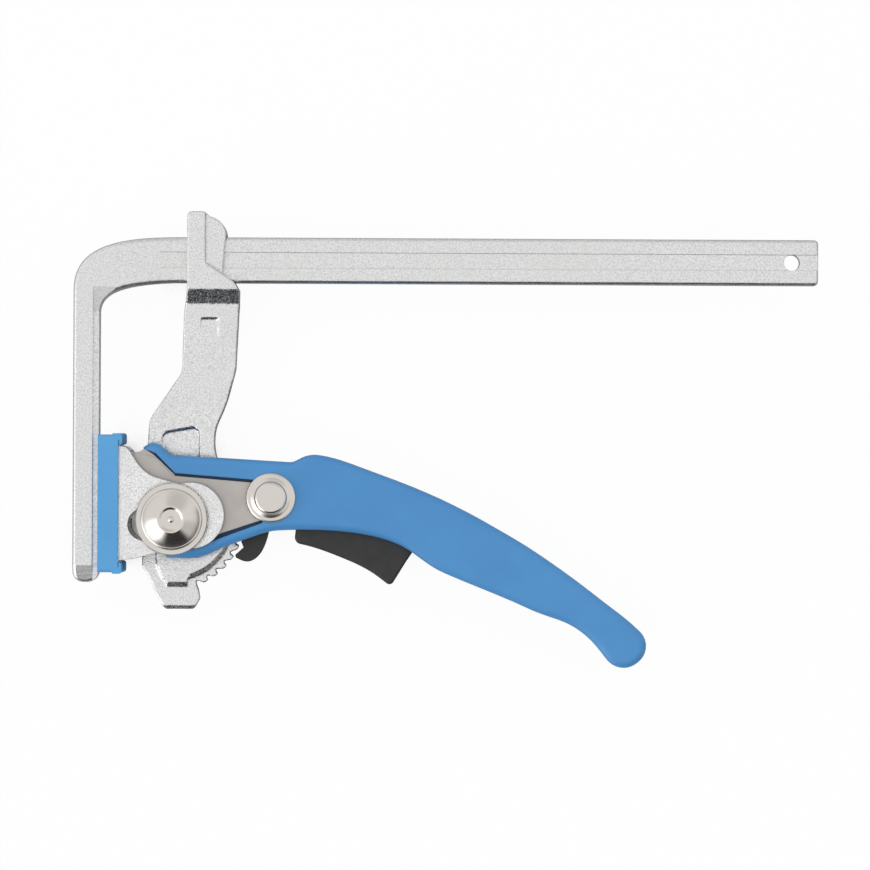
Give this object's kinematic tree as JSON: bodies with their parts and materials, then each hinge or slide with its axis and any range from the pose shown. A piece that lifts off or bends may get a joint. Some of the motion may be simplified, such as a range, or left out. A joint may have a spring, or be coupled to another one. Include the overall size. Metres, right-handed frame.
{
  "type": "lever clamp",
  "caption": "Quick release bar clamp with a T-section fixed leg, a sliding cast arm, a cam lever with ratchet, a release trigger and a padded press yoke.",
  "frame": {"origin": "middle of the fixed jaw's clamping face, on the clamp's middle plane, level with the pad's middle", "axes": "+X along the bar from the fixed jaw to the bar's free end, which is the way the arm slides open; +Y from the jaw up to the bar; +Z out of the clamp's front side, which has the domed axle cap"},
  "size_m": [0.2034, 0.1243, 0.0306],
  "materials": {
    "zinc_steel": "zinc plated, satin",
    "zinc_casting": "zinc plated casting, fine grain",
    "plate_steel": "plated pressing, satin",
    "bright_steel": "nickel plated, polished turning",
    "spring_steel": "drawn wire",
    "black_steel": "black, matt",
    "black_plastic": "black, matt moulding",
    "blue_grip": "satin blue moulding",
    "blue_pad": "satin blue moulding"
  },
  "bodies": {
    "rail": {"rail": "zinc_steel"},
    "sliding_arm": {"sliding_arm": "zinc_casting", "pivot_axle": "bright_steel", "axle_washer_front": "bright_steel", "axle_washer_rear": "bright_steel", "spacer_ring_front": "plate_steel", "spacer_ring_rear": "plate_steel", "axle_cap": "bright_steel"},
    "handle": {"handle_grip": "blue_grip", "cam_plate_front": "plate_steel", "cam_plate_rear": "plate_steel", "trigger_pin": "bright_steel", "pin_flange_front": "bright_steel", "pin_flange_rear": "bright_steel", "tail_spacer": "plate_steel", "trigger_spring": "spring_steel"},
    "press_yoke": {"yoke": "zinc_casting", "pad": "blue_pad"},
    "release_lever": {"pawl": "black_steel", "trigger": "black_plastic"}
  },
  "joints": [
    {"name": "arm_slide", "type": "slide", "parent": "rail", "child": "sliding_arm", "axis": [1, 0, 0], "range_m": [0, 0.155]},
    {"name": "handle_pivot", "type": "hinge", "parent": "sliding_arm", "child": "handle", "pos_m": [0.0204, -0.0042, 0], "axis": [0, 0, 1], "range_deg": [-37, 0]},
    {"name": "yoke_press", "type": "slide", "parent": "sliding_arm", "child": "press_yoke", "axis": [-0.9823, -0.1874, 0], "range_m": [-0.0053, 0]},
    {"name": "trigger_pivot", "type": "hinge", "parent": "handle", "child": "release_lever", "pos_m": [0.0472, 0.0017, 0], "axis": [0, 0, 1], "range_deg": [0, 12], "stiffness_Nm_per_rad": 0.1, "springref_deg": -11.46, "deforming": ["trigger_spring"]}
  ],
  "couplings": [
    {"joint": "yoke_press", "follows": "handle_pivot", "m_per_rad": 0.0079407}
  ]
}
